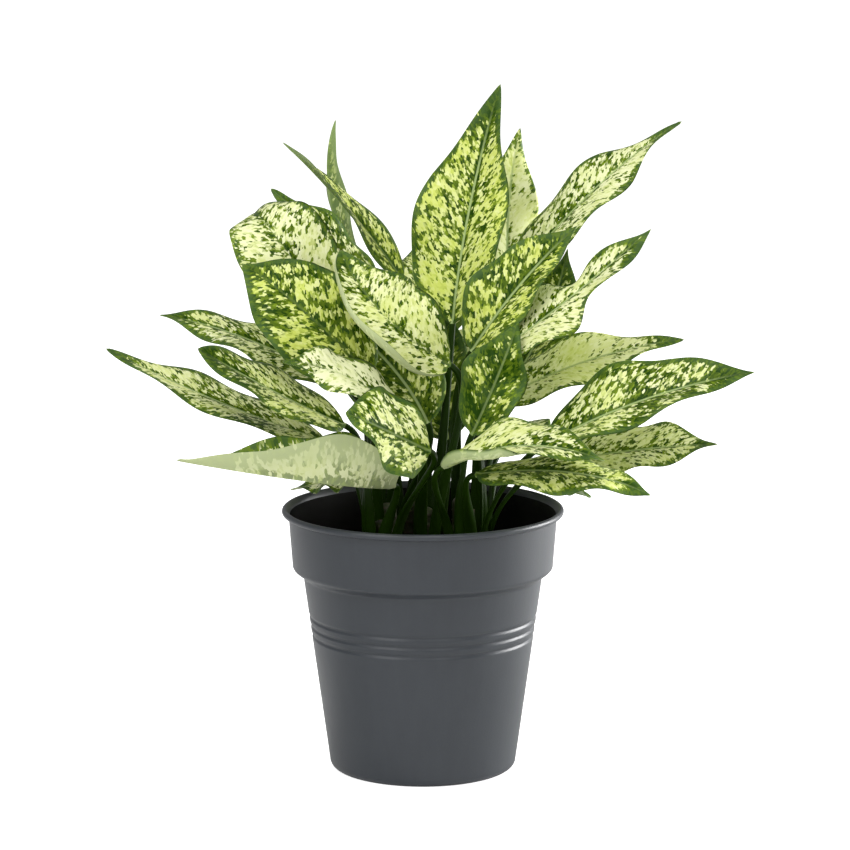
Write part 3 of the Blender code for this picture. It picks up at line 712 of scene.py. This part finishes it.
def stalk_points(leaf):
    """The stalk's Bezier points, from beside its cane to the blade's base, and the way out from the cane."""
    cane_x, cane_y, _ = CANES[leaf.cane]
    base, middle, tip = Vector(leaf.base), Vector(leaf.middle), Vector(leaf.tip)
    angle = math.radians(leaf.foot_turn)
    out = Vector((math.cos(angle), math.sin(angle), 0.0))
    foot = Vector((cane_x, cane_y, leaf.foot_z)) + out * (CANE_RADIUS + PETIOLE_FOOT_RADIUS + TOUCH_GAP)
    handle = 2 * middle - (base + tip) / 2
    length = (base - foot).length
    start = (handle - base).normalized()
    rise = out * PETIOLE_LEAN + Vector((0.0, 0.0, 1.0))
    return foot, foot + rise * length * FOOT_REACH, base - start * length * BLADE_REACH, handle, out


def make_leaf(index, leaf):
    foot, foot_handle, blade_handle, handle, out = stalk_points(leaf)
    values = {
        "Foot": foot, "Foot Handle": foot_handle, "Blade Handle": blade_handle, "Base": leaf.base,
        "Middle": handle, "Tip": leaf.tip, "Out": out, "Width": leaf.width,
        "Length": (Vector(leaf.middle) - Vector(leaf.base)).length + (Vector(leaf.tip) - Vector(leaf.middle)).length,
        "Roll": math.radians(leaf.roll), "Twist": math.radians(leaf.twist),
        "Fold": math.radians(leaf.fold), "Left": leaf.left, "Right": leaf.right, "Wave": leaf.wave,
        "Phase": leaf.phase, "Drawn": leaf.drawn, "Waist": leaf.waist, "Brim Left": leaf.brim_left,
        "Brim Right": leaf.brim_right, "Brim End": leaf.brim_end, "Pale": leaf.pale, "Yellow": leaf.yellow,
        "Rib": leaf.rib, "Seed": float(index), "Material": LEAF_MATERIAL,
    }
    values = {k: tuple(v) if isinstance(v, Vector) else v for k, v in values.items()}
    values = {k: float(v) if isinstance(v, int) else v for k, v in values.items()}
    obj = run_tree(f"leaf_{leaf.name}_fine", LEAF_TREE, values)
    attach(obj, "root")
    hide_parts(f"leaf_{leaf.name}")
    return obj


leaves = [make_leaf(index, leaf) for index, leaf in enumerate(LEAVES)]
print("leaf triangles:", sum(len(p.vertices) - 2 for obj in leaves for p in obj.data.polygons))

# %% [markdown]
# ## The pot
#
# A grower's pot is moulded in one go from dark plastic: a thin tapered wall with three ring grooves, a wider
# collar on a sloped shoulder, and a rolled lip. The plain pot has flat facets, so a finer one replaces it. Its
# outline is a formula of the height, turned round in many steps. The drain holes are cut from it as before.

# %% The pot's outline
RIM_RADIUS = 0.085
POT_HEIGHT = 0.160
FOOT_RADIUS = 0.0565
WALL = 0.0016
LIP_DEPTH = 0.0042
FLARE_WIDTH = 0.0027
FLARE_DROP = 0.0010
COLLAR_TOP_RADIUS = 0.0810
COLLAR_BOTTOM_RADIUS = 0.0787
COLLAR_BOTTOM_Z = 0.1255
SHOULDER_Z = 0.1185
BODY_TOP_RADIUS = 0.0722
RING_GROOVES_Z = (0.0942, 0.0884, 0.0826)
GROOVE_WIDTH = 0.0040
GROOVE_DEPTH = 0.0008
FOOT_ROUND = 0.0050
FLOOR_THICKNESS = 0.0018
CHANNEL_HEIGHT = 0.0030
CHANNEL_INNER = 0.0270
CHANNEL_OUTER = 0.0450
POT_STEPS = 180
DRAIN_HOLES = 6
DRAIN_RADIUS = 0.0045
DRAIN_CIRCLE = 0.0360


def eased(x, low, high):
    share = min(max((x - low) / (high - low), 0.0), 1.0)
    return share * share * (3 - 2 * share)


def wall_radius(z):
    """The pot's outer radius at a height: tapered body, ring grooves, sloped shoulder and collar."""
    body = FOOT_RADIUS + (z - FOOT_ROUND) / (SHOULDER_Z - FOOT_ROUND) * (BODY_TOP_RADIUS - FOOT_RADIUS)
    for groove_z in RING_GROOVES_Z:
        away = min(abs(z - groove_z) / GROOVE_WIDTH * 2, 1.0)
        body -= GROOVE_DEPTH * (1 + math.cos(math.pi * away)) / 2
    collar = COLLAR_BOTTOM_RADIUS + (z - COLLAR_BOTTOM_Z) / (POT_HEIGHT - LIP_DEPTH - COLLAR_BOTTOM_Z) * (
        COLLAR_TOP_RADIUS - COLLAR_BOTTOM_RADIUS)
    share = eased(z, SHOULDER_Z - 0.0008, COLLAR_BOTTOM_Z - 0.0012)
    return body + (collar - body) * share


def arc(centre_radius, centre_z, radius, start, end, steps):
    angles = [math.radians(start + (end - start) * k / steps) for k in range(steps + 1)]
    return [(centre_radius + radius * math.cos(a), centre_z + radius * math.sin(a)) for a in angles]


def heights(low, high, step):
    count = round((high - low) / step)
    return [low + (high - low) * k / count for k in range(count + 1)]


def pot_outline():
    """Under the foot, up the outside, over the lip and down the inside."""
    groove_low, groove_high = RING_GROOVES_Z[-1] - GROOVE_WIDTH, RING_GROOVES_Z[0] + GROOVE_WIDTH
    shoulder_low, shoulder_high = SHOULDER_Z - 0.0015, COLLAR_BOTTOM_Z + 0.0006
    lip_z = POT_HEIGHT - LIP_DEPTH
    levels = heights(FOOT_ROUND, groove_low, 0.008)[1:] + heights(groove_low, groove_high, 0.0005)[1:]
    levels += heights(groove_high, shoulder_low, 0.008)[1:] + heights(shoulder_low, shoulder_high, 0.0007)[1:]
    levels += heights(shoulder_high, lip_z, 0.008)[1:]
    outline = [(0.0, 0.0), (CHANNEL_INNER, 0.0), (CHANNEL_INNER + 0.0012, CHANNEL_HEIGHT)]
    outline += [(CHANNEL_OUTER - 0.0012, CHANNEL_HEIGHT), (CHANNEL_OUTER, 0.0)]
    outline += arc(FOOT_RADIUS - FOOT_ROUND, FOOT_ROUND, FOOT_ROUND, -90, 0, 7)
    outline += [(wall_radius(z), z) for z in levels]
    outline += arc(RIM_RADIUS - LIP_DEPTH / 2, lip_z + LIP_DEPTH / 2, LIP_DEPTH / 2, -90, 80, 10)
    outline += [(RIM_RADIUS - FLARE_WIDTH, POT_HEIGHT - 0.0005)]
    outline += [(COLLAR_TOP_RADIUS - WALL, lip_z - FLARE_DROP)]
    outline += [(wall_radius(z) - WALL, z) for z in reversed(levels[1:-1])]
    floor = CHANNEL_HEIGHT + FLOOR_THICKNESS
    outline += [(FOOT_RADIUS - FOOT_ROUND, floor), (CHANNEL_INNER - 0.0006, floor)]
    return outline + [(CHANNEL_INNER - 0.0020, FLOOR_THICKNESS), (0.0, FLOOR_THICKNESS)]


def turned(name, outline, steps):
    """A closed solid turned about +Z from an outline of (radius, z) points."""
    bm = bmesh.new()
    points = [bm.verts.new((radius, 0.0, z)) for radius, z in outline]
    edges = [bm.edges.new(pair) for pair in zip(points, points[1:])]
    bmesh.ops.spin(bm, geom=points + edges, cent=(0, 0, 0), axis=(0, 0, 1), angle=math.tau, steps=steps)
    bmesh.ops.remove_doubles(bm, verts=bm.verts, dist=1e-6)
    bmesh.ops.recalc_face_normals(bm, faces=bm.faces)
    mesh = bpy.data.meshes.new(name)
    bm.to_mesh(mesh)
    bm.free()
    return mesh


def taking(obj, node):
    """Lets a finished piece ride on the plant and take the place of its plain solid."""
    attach(obj, "root")
    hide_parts(node)


# %% The pot's plastic
POT_GREY = (0.018, 0.022, 0.028, 1.0)
POT_WORN = (0.026, 0.031, 0.038, 1.0)
POT_INNER_PAINTED_SHADE = (0.005, 0.005, 0.004, 1.0)


def make_plastic():
    """Satin dark plastic: faint clouds, upright flow marks, fine scratches and a little dust. The inner wall gets
    painted shade.
    """
    material, tree, shader = new_material("grower_plastic")
    place = add_node(tree, "ShaderNodeTexCoord", output="Object")
    x, y, z = split(place)
    round_place = join(tree, x * 40.0, y * 40.0, z * 4.0)
    clouds = noise(tree, place, 26.0, 3.0, 0.55)
    flow = noise(tree, round_place, 4.0, 2.0, 0.5)
    grain = noise(tree, place, 900.0, 2.0, 0.6)
    scratch = noise(tree, join(tree, x * 60.0, y * 60.0, z * 900.0), 1.2, 3.0, 0.7)
    marks = ramp(scratch, 0.69, 0.74) * ramp(clouds, 0.45, 0.6)
    share = ramp(clouds, 0.3, 0.7) * 0.5 + ramp(flow, 0.3, 0.7) * 0.25 + (grain - 0.5) * 0.5
    colour = mix_colour(tree, POT_GREY, POT_WORN, (share + marks * 0.8).does("MINIMUM", 1.0).does("MAXIMUM", 0.0))
    # Above the collar's bottom the inner wall is painted near black. This is painted shade, where the rim and the
    # plant shade the inside of the pot. The same mask makes the wall rougher and less shiny.
    radius = (x * x + y * y) ** 0.5
    collar = (z - COLLAR_BOTTOM_Z) * 0.075 + COLLAR_BOTTOM_RADIUS
    inside = (collar - WALL / 2).does("GREATER_THAN", radius) * z.does("GREATER_THAN", COLLAR_BOTTOM_Z)
    feed(tree, shader.inputs["Base Color"], mix_colour(tree, colour, POT_INNER_PAINTED_SHADE, inside))
    feed(tree, shader.inputs["Roughness"], 0.40 + (clouds - 0.5) * 0.16 + marks * 0.12 + inside * 0.4)
    feed(tree, shader.inputs["Specular IOR Level"], 0.5 - inside * 0.4)
    height = grain * 0.5 + flow * 0.35 - marks * 0.25
    bump = add_node(tree, "ShaderNodeBump", {"Strength": 0.25, "Distance": 0.0003, "Height": height},
                    output="Normal")
    feed(tree, shader.inputs["Normal"], bump)
    return material


def drain_cutter(angle):
    bm = bmesh.new()
    bmesh.ops.create_cone(bm, cap_ends=True, segments=32, radius1=DRAIN_RADIUS, radius2=DRAIN_RADIUS, depth=0.03)
    mesh = bpy.data.meshes.new("drain_cutter")
    bm.to_mesh(mesh)
    bm.free()
    obj = bpy.data.objects.new("drain_cutter", mesh)
    obj.location = (DRAIN_CIRCLE * math.cos(angle), DRAIN_CIRCLE * math.sin(angle), 0.0)
    return obj


def make_pot():
    mesh = turned("pot_fine", pot_outline(), POT_STEPS)
    mesh.materials.append(make_plastic())
    obj = bpy.data.objects.new("pot_fine", mesh)
    scene.collection.objects.link(obj)
    cutters = bpy.data.collections.new("drain_cutters")
    for k in range(DRAIN_HOLES):
        cutters.objects.link(drain_cutter(math.tau * (k + 0.5) / DRAIN_HOLES))
    scene.collection.children.link(cutters)
    modifier = obj.modifiers.new("drain", "BOOLEAN")
    modifier.operand_type = "COLLECTION"
    modifier.collection = cutters
    graph = bpy.context.evaluated_depsgraph_get()
    cut = bpy.data.meshes.new_from_object(obj.evaluated_get(graph), depsgraph=graph)
    obj.modifiers.clear()
    obj.data = cut
    cut.shade_smooth()
    cut.set_sharp_from_angle(angle=math.radians(50))
    for cutter in list(cutters.objects):
        bpy.data.objects.remove(cutter)
    bpy.data.collections.remove(cutters)
    taking(obj, "pot")
    return obj


pot = make_pot()
print("pot triangles:", sum(len(p.vertices) - 2 for p in pot.data.polygons))

# %% [markdown]
# ## The soil
#
# The plain soil has the right form but no grain. It stays and gets a peat finish. On its top lie loose crumbs
# and a few white grains of perlite, which Geometry Nodes scatter over the plain soil itself.

# %% The soil's finish
PEAT_DARK = (0.010, 0.007, 0.005, 1.0)
PEAT_LIGHT = (0.045, 0.028, 0.017, 1.0)
PERLITE = (0.62, 0.60, 0.55, 1.0)


def make_peat(name, tinted):
    """Dark peat. On the crumbs a stored number tells which few are perlite."""
    material, tree, shader = new_material(name)
    place = add_node(tree, "ShaderNodeTexCoord", output="Object")
    clumps = noise(tree, place, 420.0, 4.0, 0.65)
    colour = mix_colour(tree, PEAT_DARK, PEAT_LIGHT, ramp(clumps, 0.35, 0.7))
    if tinted:
        tint, _, _ = read(tree, "crumb_tint")
        colour = mix_colour(tree, colour, PEAT_LIGHT, ramp(tint, 0.5, 0.9) * 0.6)
        colour = mix_colour(tree, colour, PERLITE, tint.does("GREATER_THAN", 0.965))
    feed(tree, shader.inputs["Base Color"], colour)
    shader.inputs["Roughness"].default_value = 0.95
    shader.inputs["Specular IOR Level"].default_value = 0.2
    bump = add_node(tree, "ShaderNodeBump", {"Strength": 0.8, "Distance": 0.0008, "Height": clumps},
                    output="Normal")
    feed(tree, shader.inputs["Normal"], bump)
    return material


soil = frame["nodes"]["soil"]
soil.data.materials.clear()
soil.data.materials.append(make_peat("peat", tinted=False))

# %% Scatter crumbs on the soil
CRUMB_INPUTS = {"Soil": "Object", "Top": "Float", "Density": "Float", "Smallest": "Float",
                "Largest": "Float", "Seed": "Int", "Material": "Material"}


def crumb_tree():
    tree, given = new_tree("crumb_rule", CRUMB_INPUTS)
    ground = add_node(tree, "GeometryNodeObjectInfo", {"Object": given["Soil"]}, output="Geometry")
    _, _, z = split(add_node(tree, "GeometryNodeInputPosition"))
    _, _, facing = split(add_node(tree, "GeometryNodeInputNormal"))
    on_top = z.does("GREATER_THAN", given["Top"]) * facing.does("GREATER_THAN", 0.6)
    scatter = {"Mesh": ground, "Selection": on_top, "Density": given["Density"], "Seed": given["Seed"]}
    points = add_node(tree, "GeometryNodeDistributePointsOnFaces", scatter, output="Points")
    crumb = add_node(tree, "GeometryNodeMeshIcoSphere", {"Radius": 1.0, "Subdivisions": 2})
    place = add_node(tree, "GeometryNodeInputPosition")
    rough = noise(tree, place, 1.3, 2.0, 0.6)
    crumb = add_node(tree, "GeometryNodeSetPosition", {"Geometry": crumb, "Position": place * (rough + 0.45)})
    turn = add_node(tree, "FunctionNodeRandomValue", {"Min": (0, 0, 0), "Max": (6.28, 6.28, 6.28), "Seed": 1},
                    data_type="FLOAT_VECTOR")
    size = add_node(tree, "FunctionNodeRandomValue", {2: given["Smallest"], 3: given["Largest"], "Seed": 2},
                    output=1, data_type="FLOAT")
    long = add_node(tree, "FunctionNodeRandomValue", {2: 0.8, 3: 2.2, "Seed": 3}, output=1, data_type="FLOAT")
    tint = add_node(tree, "FunctionNodeRandomValue", {2: 0.0, 3: 1.0, "Seed": 4}, output=1, data_type="FLOAT")
    scale = join(tree, size * long, size, size * 0.8)
    points = store(tree, points, "crumb_tint", join(tree, tint, 0.0, 0.0))
    spread = {"Points": points, "Instance": crumb, "Rotation": turn, "Scale": scale}
    made = add_node(tree, "GeometryNodeInstanceOnPoints", spread)
    made = add_node(tree, "GeometryNodeRealizeInstances", {"Geometry": made})
    made = add_node(tree, "GeometryNodeSetShadeSmooth", {"Geometry": made})
    made = add_node(tree, "GeometryNodeSetMaterial", {"Geometry": made, "Material": given["Material"]})
    leave = tree.nodes.new("NodeGroupOutput")
    feed(tree, leave.inputs["Geometry"], made)
    return tree


crumbs = run_tree("soil_crumbs", crumb_tree(), {
    "Soil": soil, "Top": 0.12, "Density": 90000.0, "Smallest": 0.0006, "Largest": 0.0021, "Seed": 5,
    "Material": make_peat("peat_crumbs", tinted=True)})
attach(crumbs, "root")
print("crumb triangles:", len(crumbs.data.polygons))

# %% [markdown]
# ## The canes
#
# A cane is the plant's short stem. It is green to brown and ringed with scars where old leaves fell, and it ends
# between the youngest stalks. Each one is turned from an outline with a rounded ring at each scar.

# %% Make the canes
CANE_BOTTOM_Z = 0.090
CANE_STEPS = 40
SCAR_SPACING = 0.0065
# These are the cane's own green and brown, made darker as painted shade for the shade that the canes stand in inside
# the pot.
CANE_GREEN_AND_SHADE = (0.030, 0.046, 0.011, 1.0)
CANE_BROWN_AND_SHADE = (0.050, 0.035, 0.018, 1.0)


def make_bark():
    material, tree, shader = new_material("cane_bark")
    place = add_node(tree, "ShaderNodeTexCoord", output="Object")
    x, y, z = split(place)
    streaks = noise(tree, join(tree, x * 3.0, y * 3.0, z), 220.0, 4.0, 0.6)
    rings = (z * (math.tau / SCAR_SPACING)).does("COSINE")
    share = ramp(streaks, 0.4, 0.65) * 0.6 + smooth(rings, 0.7, 1.0) * 0.6
    colour = mix_colour(tree, CANE_GREEN_AND_SHADE, CANE_BROWN_AND_SHADE, share.does("MINIMUM", 1.0))
    feed(tree, shader.inputs["Base Color"], colour)
    shader.inputs["Roughness"].default_value = 0.6
    bump = add_node(tree, "ShaderNodeBump", {"Strength": 0.5, "Distance": 0.0005, "Height": streaks},
                    output="Normal")
    feed(tree, shader.inputs["Normal"], bump)
    return material


def cane_outline(top_z):
    """A slim stem with a ring at each scar, drawn in to a blunt point."""
    outline = [(0.0, CANE_BOTTOM_Z)]
    for z in heights(CANE_BOTTOM_Z, top_z - 0.004, 0.0009):
        ring = max(math.cos(math.tau * z / SCAR_SPACING), 0.0) ** 6
        outline.append((CANE_RADIUS - 0.0006 + 0.0005 * ring, z))
    tip = arc(0.0, top_z - 0.004, 1.0, 0, 90, 6)
    outline += [((CANE_RADIUS - 0.0006) * r, top_z - 0.004 + (z - top_z + 0.004) * 0.004) for r, z in tip[1:-1]]
    return outline + [(0.0, top_z)]


bark = make_bark()
for name, (x, y, top_z) in CANES.items():
    mesh = turned(f"cane_{name}_fine", cane_outline(top_z), CANE_STEPS)
    for vertex in mesh.vertices:
        vertex.co.x += x
        vertex.co.y += y
    mesh.shade_smooth()
    mesh.materials.append(bark)
    obj = bpy.data.objects.new(f"cane_{name}_fine", mesh)
    scene.collection.objects.link(obj)
    taking(obj, f"cane_{name}")
print("canes:", len(CANES))
